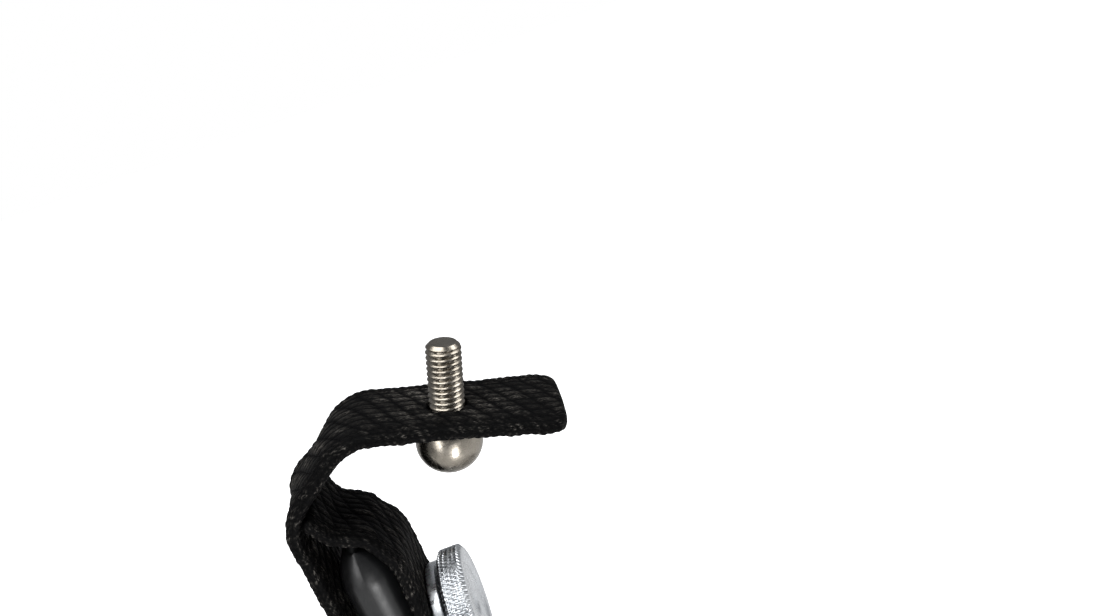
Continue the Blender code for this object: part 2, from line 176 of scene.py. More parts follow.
def directions(points):
    """Unit vector along a polyline at each of its points."""
    ahead = np.gradient(points, axis=0)
    return ahead / np.linalg.norm(ahead, axis=1)[:, None]


def turned_shell(profile, steps, place, axis, displace=None):
    """Solid of revolution from (radius, height) points; closed at the axis or as a ring.

    displace gives how much an angle, height and radius lie below the profile's own radius.
    """
    profile = np.asarray(profile, float)
    axis = Vector(axis).normalized()
    side = axis.orthogonal().normalized()
    other = axis.cross(side)
    angles = np.linspace(0, 2 * math.pi, steps, endpoint=False)
    radius = np.repeat(profile[:, :1], steps, axis=1)
    height = np.repeat(profile[:, 1:2], steps, axis=1)
    if displace is not None:
        radius = radius - displace(angles[None, :], height, radius)
    side, other, axis = (np.array(vector) for vector in (side, other, axis))
    points = (np.array(place) + (radius * np.cos(angles))[..., None] * side
              + (radius * np.sin(angles))[..., None] * other + height[..., None] * axis)
    points = points.reshape(-1, 3)
    if profile[0, 0] > AXIS_R:
        return points, looped_tube(len(profile), steps)
    ends = np.array([points[:steps].mean(axis=0), points[-steps:].mean(axis=0)])
    return np.concatenate([points[steps:-steps], ends]), capped_tube(len(profile) - 2, steps)


def rounded(profile, steps=4):
    """Outline from (x, y, radius) corners, each turned into a small arc unless its radius is 0."""
    out = []
    for i, (x, y, size) in enumerate(profile):
        point = Vector((x, y))
        if size == 0:
            out.append(tuple(point))
            continue
        back = Vector(profile[i - 1][:2]) - point
        ahead = Vector(profile[i + 1][:2]) - point
        size = min(size, back.length * ARC_SHARE, ahead.length * ARC_SHARE)
        first = point + back.normalized() * size
        last = point + ahead.normalized() * size
        for k in range(steps + 1):
            t = k / steps
            out.append(tuple(first * (1 - t) ** 2 + point * 2 * t * (1 - t) + last * t ** 2))
    return out


def fillet_path(corners, radii, turn_step=math.radians(4.0)):
    """Points along straight runs joined by round bends, one bend per inner corner."""
    points = [Vector(corners[0])]
    for before, corner, after, radius in zip(corners, corners[1:], corners[2:], radii):
        corner = Vector(corner)
        back = (Vector(before) - corner).normalized()
        ahead = (Vector(after) - corner).normalized()
        half = back.angle(ahead) / 2
        centre = corner + (back + ahead).normalized() * (radius / math.sin(half))
        start = corner + back * (radius / math.tan(half)) - centre
        stop = corner + ahead * (radius / math.tan(half)) - centre
        spin_axis = start.cross(stop).normalized()
        side = spin_axis.cross(start)
        turn = math.pi - 2 * half
        steps = max(4, math.ceil(turn / turn_step))
        for i in range(steps + 1):
            angle = turn * i / steps
            points.append(centre + start * math.cos(angle) + side * math.sin(angle))
    points.append(Vector(corners[-1]))
    return points


def evenly(points, spacing):
    """The same polyline with even spacing, as an array, and the distance of each point."""
    points = np.array([tuple(point) for point in points])
    steps = np.linalg.norm(np.diff(points, axis=0), axis=1)
    reach = np.concatenate([[0], np.cumsum(steps)])
    wanted = np.linspace(0, reach[-1], round(reach[-1] / spacing) + 1)
    return np.stack([np.interp(wanted, reach, points[:, i]) for i in range(points.shape[1])], 1), wanted


def circle(centre, radius, side, other, columns):
    """Points round a circle that two directions span."""
    angles = np.linspace(0, 2 * math.pi, columns, endpoint=False)[:, None]
    return centre + radius * (np.cos(angles) * side + np.sin(angles) * other)


def swept_shell(points, radius, columns=32):
    """Closed round bar along points, its rings kept from twisting."""
    points = np.array([tuple(point) for point in points])
    ahead = directions(points)
    side = np.cross(ahead[0], [0.3, 0.2, 1.0])
    rings = []
    for point, way in zip(points, ahead):
        side = side - way * np.dot(side, way)
        side /= np.linalg.norm(side)
        rings.append(circle(point, radius, side, np.cross(way, side), columns))
    return np.concatenate(rings + [points[:1], points[-1:]]), capped_tube(len(rings), columns)


def cutter(outline, place, axis, steps=64):
    """Turned solid that only serves to cut."""
    return tidy_normals(build("cutter", [turned_shell(outline, steps, place, axis)], HIDDEN))


def boolean_cut(target, cutters, sharp=30.0):
    """Cuts the cutters out of a piece, removes them and marks its sharp edges again."""
    for tool in cutters:
        step = target.modifiers.new("cut", "BOOLEAN")
        step.operation = "DIFFERENCE"
        step.solver = "EXACT"
        step.object = tool
    bpy.context.view_layer.update()
    graph = bpy.context.evaluated_depsgraph_get()
    mesh = bpy.data.meshes.new_from_object(target.evaluated_get(graph))
    target.modifiers.clear()
    target.data = mesh
    for tool in cutters:
        bpy.data.objects.remove(tool, do_unlink=True)
    mesh.shade_smooth()
    mesh.set_sharp_from_angle(angle=math.radians(sharp))


def place_piece(piece, body, node):
    """Rides a finished piece on its body and hides the CAD node it stands for."""
    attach(piece, body)
    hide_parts(node)


# ------------ materials

class Finish:
    """Small helper for a Principled material and the nodes that feed it."""

    def __init__(self, name, **values):
        self.material = bpy.data.materials.new(name)
        self.material.use_nodes = True
        self.tree = self.material.node_tree
        self.shader = self.tree.nodes["Principled BSDF"]
        for label, value in values.items():
            self.shader.inputs[label.replace("_", " ")].default_value = value
        self.place = self.node("ShaderNodeTexCoord").outputs["Object"]
        self.last_bump = None

    def node(self, kind, **values):
        made = self.tree.nodes.new(kind)
        for label, value in values.items():
            setattr(made, label, value)
        return made

    def link(self, source, target):
        self.tree.links.new(source, target)

    def mapped(self, source, scale, turn=0.0):
        """Coordinates scaled, and turned round Z."""
        made = self.node("ShaderNodeMapping")
        made.inputs["Rotation"].default_value = (0, 0, turn)
        made.inputs["Scale"].default_value = scale
        self.link(source, made.inputs["Vector"])
        return made.outputs["Vector"]

    def noise(self, scale, detail=4.0, rough=0.55, source=None):
        made = self.node("ShaderNodeTexNoise")
        made.inputs["Scale"].default_value = scale
        made.inputs["Detail"].default_value = detail
        made.inputs["Roughness"].default_value = rough
        self.link(source or self.place, made.inputs["Vector"])
        return made.outputs["Fac"]

    def ramp(self, source, low, high, low_value=0.0, high_value=1.0):
        made = self.node("ShaderNodeMapRange")
        made.clamp = True
        for label, value in (("From Min", low), ("From Max", high),
                             ("To Min", low_value), ("To Max", high_value)):
            made.inputs[label].default_value = value
        self.link(source, made.inputs["Value"])
        return made.outputs["Result"]

    def maths(self, operation, first, second):
        made = self.node("ShaderNodeMath", operation=operation)
        for slot, value in zip(made.inputs, (first, second)):
            if isinstance(value, (int, float)):
                slot.default_value = value
            else:
                self.link(value, slot)
        return made.outputs["Value"]

    def colours(self, fac, first, second):
        """Base colour between two colours."""
        made = self.node("ShaderNodeMix", data_type="RGBA")
        self.link(fac, made.inputs["Factor"])
        for label, value in (("A", first), ("B", second)):
            socket = [s for s in made.inputs if s.name == label and s.type == "RGBA"][0]
            socket.default_value = (*value, 1.0)
        out = [s for s in made.outputs if s.type == "RGBA"][0]
        self.link(out, self.shader.inputs["Base Color"])

    def rough(self, source, low, high, low_value, high_value):
        """Roughness between two values."""
        self.link(self.ramp(source, low, high, low_value, high_value), self.shader.inputs["Roughness"])

    def bump(self, source, strength, distance):
        made = self.node("ShaderNodeBump")
        made.inputs["Strength"].default_value = strength
        made.inputs["Distance"].default_value = distance
        self.link(source, made.inputs["Height"])
        if self.last_bump is not None:
            self.link(self.last_bump, made.inputs["Normal"])
        self.last_bump = made.outputs["Normal"]
        self.link(self.last_bump, self.shader.inputs["Normal"])


def gloss_black():
    made = Finish("gloss_black_moulding")
    made.rough(made.noise(900, 5), 0.35, 0.7, 0.3, 0.38)
    dust = made.ramp(made.noise(2600, 6, 0.7), 0.64, 0.8)
    made.colours(made.maths("MULTIPLY", dust, 0.3), (0.006, 0.006, 0.0065), (0.07, 0.066, 0.06))
    made.bump(made.noise(160, 3), 0.12, 0.0006)
    made.bump(made.noise(5200, 3), 0.05, 0.0001)
    return made.material


def rod_coat():
    made = Finish("black_rod_coat", Coat_Weight=0.5, Coat_Roughness=0.1)
    made.rough(made.noise(500, 4), 0.3, 0.7, 0.2, 0.32)
    scuff = made.ramp(made.noise(240, 8, 0.75, made.mapped(made.place, (1, 1, 5))), 0.66, 0.74)
    made.colours(made.maths("MULTIPLY", scuff, 0.5), (0.014, 0.014, 0.015), (0.05, 0.05, 0.052))
    made.bump(made.noise(1500, 2), 0.18, 0.0003)
    return made.material


def matt_plastic():
    made = Finish("matt_black_moulding", Base_Color=(0.02, 0.02, 0.021, 1.0))
    made.rough(made.noise(420, 4), 0.3, 0.7, 0.42, 0.56)
    made.bump(made.noise(3600, 3, 0.6), 0.35, 0.0002)
    return made.material


def rubber():
    made = Finish("black_rubber", Specular_IOR_Level=0.35)
    chalk = made.ramp(made.noise(300, 6, 0.65), 0.45, 0.75)
    made.colours(made.maths("MULTIPLY", chalk, 0.55), (0.014, 0.014, 0.014), (0.034, 0.033, 0.031))
    made.rough(made.noise(700, 4), 0.3, 0.7, 0.62, 0.82)
    made.bump(made.noise(4200, 4, 0.6), 0.3, 0.00018)
    return made.material


def webbing_cloth():
    made = Finish("black_webbing", Specular_IOR_Level=0.05)
    weave = made.node("ShaderNodeUVMap", uv_map="weave").outputs["UV"]
    fibres = made.noise(1.5, 5, 0.6, made.mapped(weave, (9.0, 1.1, 1.0), math.radians(38)))
    patches = made.ramp(made.noise(130, 3), 0.35, 0.7, 0.45, 1.0)
    # Painted sheen: the mesh's sheen attribute and the fibre noise lighten the yarn crests, standing in for
    # highlights
    painted_sheen = made.node("ShaderNodeAttribute", attribute_name="painted_sheen").outputs["Fac"]
    sheen_on_fibres = made.maths("MULTIPLY", painted_sheen, made.ramp(fibres, 0.48, 0.7, 0.0, 1.0))
    painted_glints = made.maths("POWER", made.maths("MULTIPLY", sheen_on_fibres, patches), 1.5)
    # near-black nylon, and the light colour of the painted highlights
    made.colours(painted_glints, (0.0014, 0.0014, 0.0016), (0.68, 0.63, 0.562))
    made.rough(fibres, 0.3, 0.75, 0.45, 0.7)
    made.bump(fibres, 0.6, 0.00012)
    return made.material


def zinc():
    made = Finish("bright_zinc", Metallic=1.0)
    stain = made.ramp(made.noise(360, 6, 0.65), 0.42, 0.72)
    made.colours(made.maths("MULTIPLY", stain, 0.6), (0.74, 0.76, 0.78), (0.5, 0.52, 0.55))
    made.rough(made.noise(1400, 5), 0.3, 0.72, 0.2, 0.4)
    made.bump(made.noise(2400, 4), 0.1, 0.0002)
    return made.material


def stainless():
    made = Finish("dulled_stainless", Metallic=1.0)
    smear = made.ramp(made.noise(420, 5, 0.6), 0.38, 0.72)
    made.colours(made.maths("MULTIPLY", smear, 0.7), (0.34, 0.31, 0.265), (0.19, 0.168, 0.135))
    made.rough(made.noise(1100, 5), 0.3, 0.7, 0.16, 0.36)
    made.bump(made.noise(1900, 4), 0.08, 0.0002)
    return made.material


def floor_paint():
    """Pale floor that fades to white away from the cage, for the camera only."""
    made = Finish("pale_floor", Roughness=0.85, Emission_Color=(1, 1, 1, 1))
    made.colours(made.noise(3, 2), (0.85, 0.85, 0.85), (0.87, 0.87, 0.87))
    distance = made.node("ShaderNodeVectorMath", operation="LENGTH")
    made.link(made.place, distance.inputs[0])
    glow = made.ramp(distance.outputs["Value"], 0.08, 0.19, 0.62, 1.0)
    seen = made.node("ShaderNodeLightPath").outputs["Is Camera Ray"]
    made.link(made.maths("MULTIPLY", glow, seen), made.shader.inputs["Emission Strength"])
    return made.material


# ------------ webbing

GRAIN_WIDE = 1.5              # pitch of the woven grains across the strap
GRAIN_LONG = 2.9              # and along it
GRAIN_STEP = 0.95             # shift from one column of grains to the next
GRAIN_SLANT = 0.8             # lean of a grain within its column
GRAIN_HIGH = 0.34
GRAIN_SUNK = 0.6              # share of a grain's height taken from the strap's thickness
GRAIN_CHANCE = 0.35           # uneven shift of the columns
EDGE_PITCH = 1.1              # loops of the woven edge, along the strap
EDGE_ROW = 1.05               # and round the edge
EDGE_LEAN = 1.25
EDGE_CHANCE = 0.3             # uneven shift of the rows of loops
EDGE_REACH = 2.5              # how far the loops come round onto the faces
EDGE_BULGE = 0.8              # how far the edge is rounded, across
EDGE_WAVES = ((0.12, 0.55, 1), (0.07, 1.7, 2))    # sway of the edges: size, rate, share of the seed
END_MELT = 0.9                # length over which the weave is melted smooth at a cut end
END_SOFT = 0.7                # and over which it thins
ACROSS = 96                   # points across a face
ROUND_EDGE = 14               # steps round an edge
ALONG = 0.15


def hashed(*keys):
    """Repeatable value between 0 and 1 for whole-number arrays."""
    total = sum(np.asarray(key, float) * factor for key, factor in zip(keys, (127.1, 311.7, 74.7)))
    return np.abs(np.sin(total) * 43758.5453) % 1.0


def pillow(inside, power):
    """Height across one yarn, for a place from -0.5 to 0.5 within it."""
    return np.clip(1 - (2 * np.abs(inside)) ** power, 0, 1)


def face_weave(across, along, seed):
    """Height of the flat weave, and the painted sheen on the crest of each yarn."""
    column = np.floor(across / GRAIN_WIDE)
    inside = across / GRAIN_WIDE - column - 0.5
    shift = column * GRAIN_STEP + inside * GRAIN_WIDE * GRAIN_SLANT + GRAIN_CHANCE * hashed(column, seed)
    row = np.floor((along + shift) / GRAIN_LONG)
    inside_row = (along + shift) / GRAIN_LONG - row - 0.5
    shape = np.sqrt(pillow(inside, 2)) * pillow(inside_row, 3) ** 0.6
    luck = hashed(column, row, seed)
    # the second value is painted sheen: each grain lighter towards its crest, by a random amount
    return GRAIN_HIGH * shape * (0.7 + 0.4 * luck), shape ** 2 * (0.3 + 0.7 * luck)


def edge_weave(round_edge, along, seed):
    """The same for the slanted loops that close an edge."""
    row = np.floor(round_edge / EDGE_ROW)
    inside_row = round_edge / EDGE_ROW - row - 0.5
    phase = (along + EDGE_LEAN * round_edge) / EDGE_PITCH + 0.45 * row + EDGE_CHANCE * hashed(row, seed)
    loop = np.floor(phase)
    shape = np.sqrt(pillow(phase - loop - 0.5, 2)) * pillow(inside_row, 3) ** 0.5
    luck = hashed(loop, row, seed + 3)
    # the second value is painted sheen on the crest of each loop
    return GRAIN_HIGH * 0.9 * shape * (0.65 + 0.5 * luck), 0.8 * shape ** 2 * (0.2 + 0.8 * luck ** 1.5)


def cross_section(thick):
    """Outline of the webbing: across, through, the outward normal, and the way round an edge."""
    thick = thick / 2 - GRAIN_HIGH * GRAIN_SUNK
    flat = WEB_WIDTH / 2 - EDGE_BULGE
    rows = []
    for way in (1.0, -1.0):
        rows += [(u, way * thick, 0.0, way) for u in np.linspace(-way * flat, way * flat, ACROSS)]
        for i in range(1, ROUND_EDGE):
            angle = math.pi * (0.5 - i / ROUND_EDGE)
            out, up = way * math.cos(angle), way * math.sin(angle)
            rows.append((way * flat + EDGE_BULGE * out, thick * up, out, up))
    section = np.array(rows)
    steps = np.linalg.norm(np.diff(section[:, :2], axis=0, append=section[:1, :2]), axis=1)
    reach = np.concatenate([[0], np.cumsum(steps)[:-1]])
    total = steps.sum()
    centres = [np.interp(k, np.arange(len(reach)), reach)
               for k in (ACROSS + ROUND_EDGE / 2 - 1, 2 * ACROSS + 1.5 * ROUND_EDGE - 2)]
    away = np.stack([(reach - centre + total / 2) % total - total / 2 for centre in centres])
    nearest = np.abs(away).argmin(axis=0)
    return np.column_stack([section, away[nearest, np.arange(len(reach))]])


def bell(along, centre, spread):
    return np.exp(-((along - centre) / spread) ** 2)


def woven_surface(section, reach, seed):
    """Height of the yarns all over a strap, the painted sheen on their crests, and the coordinates of its
    fibres.
    """
    across, _, _, normal_through, round_edge = (column[None, :] for column in section.T)
    along = reach[:, None]
    side = np.sign(normal_through + 1e-9)
    # 50, 100 and 20 only choose which part of the pattern is seen
    face_height, face_sheen = face_weave(across * side + 50, along + 100, seed)
    loop_height, loop_sheen = edge_weave(round_edge + 20, along + 100, seed)
    loops = (np.abs(round_edge) < EDGE_REACH).astype(float)
    melted = np.clip(1 - np.minimum(along, reach[-1] - along) / END_MELT, 0, 1)
    height = (face_height * (1 - loops) + loop_height * loops) * (1 - melted)
    # painted sheen, fainter where a cut end is melted smooth
    painted_sheen = (face_sheen * (1 - loops) + loop_sheen * loops) * (1 - 0.7 * melted)
    uv = np.stack(np.broadcast_arrays(across * side, along), 2)
    return height, painted_sheen, uv


def band_points(section, middle, reach, height, seed, near, far, corners):
    """Points of a strap along its path, with rounded cut ends and swaying edges."""
    ahead = directions(middle)
    normal = np.stack([-ahead[:, 1], ahead[:, 0]], 1)
    across, through, normal_across, normal_through, _ = (column[None, :] for column in section.T)
    along, total = reach[:, None], reach[-1]
    from_end = np.minimum(along, total - along)
    radius = np.where(along < total / 2, corners[0], corners[1])
    short = np.clip(radius - from_end, 0, None)
    half = WEB_WIDTH / 2 - radius + np.sqrt(np.clip(radius ** 2 - short ** 2, 0, None))
    taper = np.sqrt(np.clip(1 - np.clip(1 - from_end / END_SOFT, 0, 1) ** 2, 0.05, 1))
    wave = sum(size * np.sin(along * rate + share * seed) for size, rate, share in EDGE_WAVES)
    y = across * half / (WEB_WIDTH / 2) + wave + height * normal_across
    lift = through * taper + height * normal_through * taper
    share = across / (WEB_WIDTH / 2)
    lift = lift + near(along) * np.clip(-share, 0, 1) ** 1.5 + far(along) * np.clip(share, 0, 1) ** 1.5
    return np.stack([middle[:, :1] + normal[:, :1] * lift, y, middle[:, 1:] + normal[:, 1:] * lift], 2)


def weave_band(name, path, thick, finish, seed, near, far, corners=(3.5, 3.5), holes=()):
    """Woven strap along a path in the XZ plane.

    near and far give the shift of each edge along the strap's normal for a distance along it;
    corners are the radii of its two cut ends; holes are (point, axis) in millimetres.
    """
    middle, reach = evenly(path, ALONG)
    section = cross_section(thick)
    height, painted_sheen, uv = woven_surface(section, reach, seed)
    points = band_points(section, middle, reach, height, seed, near, far, corners)
    ends = np.stack([points[0].mean(axis=0), points[-1].mean(axis=0)])
    cloud = np.concatenate([points.reshape(-1, 3), ends])
    uv = uv.reshape(-1, 2)
    uv = np.concatenate([uv, uv[:1], uv[-1:]])
    # painted sheen at the centre points of the two ends
    painted_sheen = np.concatenate([painted_sheen.ravel(), [0.3, 0.3]])
    shell = cloud, capped_tube(len(middle), len(section))
    made = build(name, [shell], finish, sharp=None, uv=uv, painted_sheen=painted_sheen)
    for point, axis in holes:
        punch(made, point, axis)
    return made


PUNCH_DEEP = 3.0              # more than the strap's thickness, less than the way to the next layer


def punch(made, point, axis):
    """Opens a round hole through a woven strap and joins its two faces round it."""
    point, axis = Vector(point) * MM, Vector(axis).normalized()
    radius = HOLE_R * MM
    bm = bmesh.new()
    bm.from_mesh(made.data)
    inside = []
    for face in bm.faces:
        away = face.calc_center_median() - point
        if abs(away.dot(axis)) < PUNCH_DEEP * MM and (away - axis * away.dot(axis)).length < radius:
            inside.append(face)
    bmesh.ops.delete(bm, geom=inside, context="FACES")
    rim = [edge for edge in bm.edges if edge.is_boundary]
    for vert in {vert for edge in rim for vert in edge.verts}:
        away = vert.co - point
        flat = away - axis * away.dot(axis)
        vert.co += flat.normalized() * (radius - flat.length)
    bmesh.ops.bridge_loops(bm, edges=rim)
    bmesh.ops.recalc_face_normals(bm, faces=bm.faces)
    bm.to_mesh(made.data)
    bm.free()


def strap_path_main():
    """Middle of the webbing from the tab's end, over the bend and down behind the spine."""
    seat_x = SEAT[0] - math.sin(TAB_TILT) * WEB_THICK / 2
    seat_z = SEAT[1] - math.cos(TAB_TILT) * WEB_THICK / 2
    end = (seat_x + TAB_END * math.cos(TAB_TILT), 0, seat_z - TAB_END * math.sin(TAB_TILT))
    knee_x = 8.6
    knee = (knee_x, 0, seat_z + (seat_x - knee_x) * math.tan(TAB_TILT) - 0.25)
    corners = [end, knee, (STRAP_BACK_X - 0.6, 0, 58.8), (STRAP_BACK_X - 0.25, 0, 40.0),
               (STRAP_BACK_X, 0, STRAP_LOW_Z)]
    return [(point.x, point.z) for point in fillet_path(corners, (8.0, 7.5, 60.0))]


def strap_path_front():
    """Middle of the layer that leaves the strap, runs over the spine's nose and down its front."""
    front_x = SPINE_THICK + 0.1 + FRONT_THICK / 2
    corners = [(0.3, 0, 59.2), (2.3, 0, 54.0), (6.2, 0, 52.7), (front_x + 0.05, 0, 47.4),
               (front_x, 0, 40.0), (front_x, 0, STRAP_LOW_Z)]
    return [(point.x, point.z) for point in fillet_path(corners, (4.4, 4.4, 7.0, 20.0))]


def make_straps(cloth):
    main = weave_band(
        "strap", strap_path_main(), WEB_THICK, cloth, seed=5,
        near=lambda s: 0.8 * bell(s, 0, 9) + 0.5 * bell(s, 34, 5),
        far=lambda s: 0.9 * bell(s, 37, 5) - 1.7 * bell(s, 47.5, 5.5),
        holes=[(SEAT_POINT, TAB_NORMAL), ((STRAP_BACK_X, 0, UPPER_Z), X_AXIS)])
    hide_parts("strap_upper", "strap_back")
    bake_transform(main)
    front = weave_band(
        "strap_over_nose", strap_path_front(), FRONT_THICK, cloth, seed=11,
        near=lambda s: 0.9 * bell(s, 8, 6),
        far=lambda s: -0.5 * bell(s, 7, 4) - 0.7 * bell(s, 13, 5),
        corners=(1.2, 3.5), holes=[((SPINE_THICK + 1.1, 0, UPPER_Z), X_AXIS)])
    place_piece(front, "cage", "strap_front")


# ------------ screws and washers

THREAD_R = 2.5
THREAD_PITCH = 0.8
THREAD_DEEP = 0.43
POINT_R = 1.9                 # flat end of a screw's point
POINT_BREAK = (2.35, 0.45)    # where its chamfer starts: radius, and distance from the end

KNURL_TEETH = 80
KNURL_DEEP = 0.3
KNURL_TALL = 1.36             # height of one diamond
KNURL_ROW = 0.13              # spacing of the rings that carry the cut
KNURL_BAND = 0.42             # the cut fades out this far inside the full radius
KNOB_SEAT_R = 5.6             # flat that bears on the collar
KNOB_STEP = 0.12              # rise from that flat to the rest of the back
KNOB_DISH = 0.5               # depth of the face inside its rim

DOME_R = 4.75
DOME_CROWN = 4.5              # rounded part of the domed head
DOME_SKIRT = 2.5              # straight part above it
DOME_SHANK = 12.4
DOME_WASHER_THICK = 0.7
SOCKET_R = 1.72               # hexagon socket in the crown, half across its corners
SOCKET_DEEP = 1.9


def thread_rows(low, high):
    return [(THREAD_R, height) for height in np.arange(low, high, THREAD_PITCH / 8)]


def thread_cut(angles, height, radius):
    """Depth of an M5 thread below its crest."""
    phase = (height / THREAD_PITCH - angles / (2 * math.pi)) % 1.0
    wave = np.clip(np.abs(phase - 0.5) * 2 * 1.3 - 0.15, 0, 1)
    return np.where(radius > THREAD_R - 0.1, THREAD_DEEP * wave, 0.0)


def threaded_shank(low, high, place, axis, point_up):
    """Threaded rod between two heights on an axis, with its point at the upper or the lower one."""
    break_r, break_z = POINT_BREAK
    if point_up:
        profile = ([(0, low), (THREAD_R, low)] + thread_rows(low + 0.1, high - 0.5)
                   + [(break_r, high - break_z), (POINT_R, high), (0, high)])
    else:
        profile = ([(0, low), (POINT_R, low), (break_r, low + break_z)] + thread_rows(low + 0.5, high)
                   + [(THREAD_R, high), (0, high)])
    return turned_shell(profile, 40, place, axis, thread_cut)


def knurl_cut(radius_full):
    """Depth of a diamond knurl below the full radius."""
    def cut(angles, height, radius):
        teeth = angles * KNURL_TEETH / (2 * math.pi)
        right = (teeth + height / KNURL_TALL) % 1.0
        left = (teeth - height / KNURL_TALL) % 1.0
        ridge = np.minimum(1 - np.abs(2 * right - 1), 1 - np.abs(2 * left - 1))
        weight = np.clip((radius - (radius_full - KNURL_BAND)) / KNURL_BAND, 0, 1)
        return KNURL_DEEP * (1 - np.clip(ridge * 1.5, 0, 1)) * weight
    return cut


def knob_profile(full, thick):
    """Outline of a knurled head: its back, its flank, and its dished face with a dimple."""
    back = [(0, 0), (KNOB_SEAT_R, 0), (KNOB_SEAT_R + 0.6, KNOB_STEP), (full - 1.2, KNOB_STEP),
            (full - 0.55, 0.2), (full - 0.12, 0.5)]
    flank = [(full, height) for height in np.arange(0.62, thick - 0.6, KNURL_ROW)]
    rim = [(full - 0.1, thick - 0.5), (full - 0.75, thick - 0.05), (full - 1.0, thick),
           (full - 2.2, thick), (full - 2.5, thick - 0.12), (full - 2.9, thick - 0.42)]
    dish = thick - KNOB_DISH
    face = [(full - 3.3, dish), (2.3, dish), (2.0, dish - 0.12), (1.2, dish - 0.6), (0, dish - 0.75)]
    return back + flank + rim + face


def make_thumb_screw(label, z, metal):
    low, high = millimetres(label + "_thumb_screw")
    back_x = millimetres(label + "_washer")[1].x + GAP
    full = (high.z - low.z) / 2
    steps = 640
    place = (back_x, 0, z)
    head = turned_shell(knob_profile(full, high.x - back_x), steps, place, X_AXIS, knurl_cut(full))
    shank = threaded_shank(low.x - back_x, GAP, place, X_AXIS, point_up=False)
    piece = tidy_normals(build(label + "_knurled_screw", [head, shank], metal, sharp=32))
    place_piece(piece, label + "_thumb_screw", label + "_thumb_screw")


def flat_ring(bore, outer, thick, bore_break, rim_break, steps):
    """Outline of a washer, its edges rounded."""
    corners = [(bore, thick / 2, 0), (bore, 0, bore_break), (outer, 0, rim_break),
               (outer, thick, rim_break), (bore, thick, bore_break), (bore, thick / 2 + 0.01, 0)]
    return rounded(corners, steps)


def make_washer(name, node, thick, place, axis, metal):
    low, high = millimetres(node)
    profile = flat_ring(HOLE_R, (high.y - low.y) / 2, thick, bore_break=0.1, rim_break=0.28, steps=4)
    piece = tidy_normals(build(name, [turned_shell(profile, 128, place, axis)], metal))
    place_piece(piece, node, node)


def hexagon(angles, height, radius):
    """Squeezes the socket's wall from a circle to a hexagon."""
    fold = (angles + math.pi / 6) % (math.pi / 3) - math.pi / 6
    flat = math.cos(math.pi / 6) / np.cos(fold)
    inner = (radius < SOCKET_R * 0.95) & (radius > 0.01) & (height < 0)
    return np.where(inner, radius * (1 - flat), 0.0)


def make_dome_screw(metal):
    """Domed screw under the tab, with a hexagon socket in its crown."""
    under = SEAT_POINT - TAB_NORMAL * (WEB_THICK + GAP + DOME_WASHER_THICK + GAP)
    arc = [(DOME_R * math.sin(angle), -DOME_SKIRT - DOME_CROWN * math.cos(angle))
           for angle in np.linspace(math.asin(SOCKET_R / DOME_R), math.pi / 2, 26)]
    mouth = arc[0][1]
    socket = [(0, mouth + SOCKET_DEEP), (SOCKET_R * 0.86, mouth + SOCKET_DEEP),
              (SOCKET_R * 0.9, mouth + 0.25), (SOCKET_R, mouth + 0.02)]
    back = [(DOME_R, -0.3), (DOME_R - 0.1, -0.08), (DOME_R - 0.35, 0.0), (0, 0.0)]
    head = turned_shell(socket + arc + back, 120, under, TAB_NORMAL, hexagon)
    shank = threaded_shank(-GAP, DOME_SHANK, under, TAB_NORMAL, point_up=True)
    piece = tidy_normals(build("domed_screw", [head, shank], metal, sharp=38))
    place_piece(piece, "dome_screw", "dome_screw")


# ------------ spine

SPINE_FLARE = (12.0, -6.0)    # heights between which the spine widens
SPINE_HALF_TOP = 7.0
SPINE_HALF_LOW = 12.0
SPINE_EDGE = 3.8
SPINE_FOOT = 8.0              # radius of the lower corners
SPINE_SHOULDER = 44.9         # where the nose starts
NOSE_NARROWING = 1.7
PANELS = ((-18.0, 14.0, 3.6), (-58.0, -46.0, 5.2))    # lowest, highest, half width
PANEL_DEEP = 0.7
PANEL_SOFT = (1.1, 1.4)       # width of a panel's slope at its sides and its ends
SPINE_ROW = 0.8               # spacing of the spine's rings
MOULD_LINE = 0.05             # height of the ridge left by the mould
SLEEVE_HOLE_R = 4.3
SOCKET_LONG = 18.0            # reach of the cut for a rod's end


def smooth_step(value, start, stop):
    """Rises softly from 0 at start to 1 at stop."""
    t = np.clip((value - start) / (stop - start), 0, 1)
    return t * t * (3 - 2 * t)


def spine_half_width(z):
    """Half of the spine's width at a height, with its flare and its rounded foot."""
    half = SPINE_HALF_TOP + (SPINE_HALF_LOW - SPINE_HALF_TOP) * smooth_step(z, *SPINE_FLARE)
    foot = SPINE_LOW.z + SPINE_FOOT - z
    if foot > 0:
        half -= SPINE_FOOT - math.sqrt(max(0.0, SPINE_FOOT ** 2 - foot ** 2))
    return half


def spine_ring(z, x0, x1, half, steps=10, flat=14):
    """Rounded rectangle across the spine, with enough points on its wide faces to carry relief."""
    edge = min(SPINE_EDGE, (x1 - x0) / 2 - 0.02, half - 0.02)
    centres = [(x1 - edge, half - edge), (x0 + edge, half - edge),
               (x0 + edge, edge - half), (x1 - edge, edge - half)]
    ring = []
    for quarter, (cx, cy) in enumerate(centres):
        for i in range(steps):
            angle = (quarter + i / (steps - 1)) * math.pi / 2
            ring.append((cx + edge * math.cos(angle), cy + edge * math.sin(angle)))
        nx, ny = centres[(quarter + 1) % 4]
        angle = (quarter + 1) * math.pi / 2
        start = Vector((cx + edge * math.cos(angle), cy + edge * math.sin(angle)))
        stop = Vector((nx + edge * math.cos(angle), ny + edge * math.sin(angle)))
        count = flat if quarter in (1, 3) else 4
        for i in range(1, count):
            ring.append(tuple(start.lerp(stop, i / count)))
    return [(x, y, z) for x, y in ring]


def panel_depth(y, z, low, high, half):
    """Shallow recess on the spine's front between two heights."""
    side, end = PANEL_SOFT
    inside = smooth_step(half - np.abs(y), 0, side)
    return PANEL_DEEP * (inside * smooth_step(z - low, 0, end) * smooth_step(high - z, 0, end))


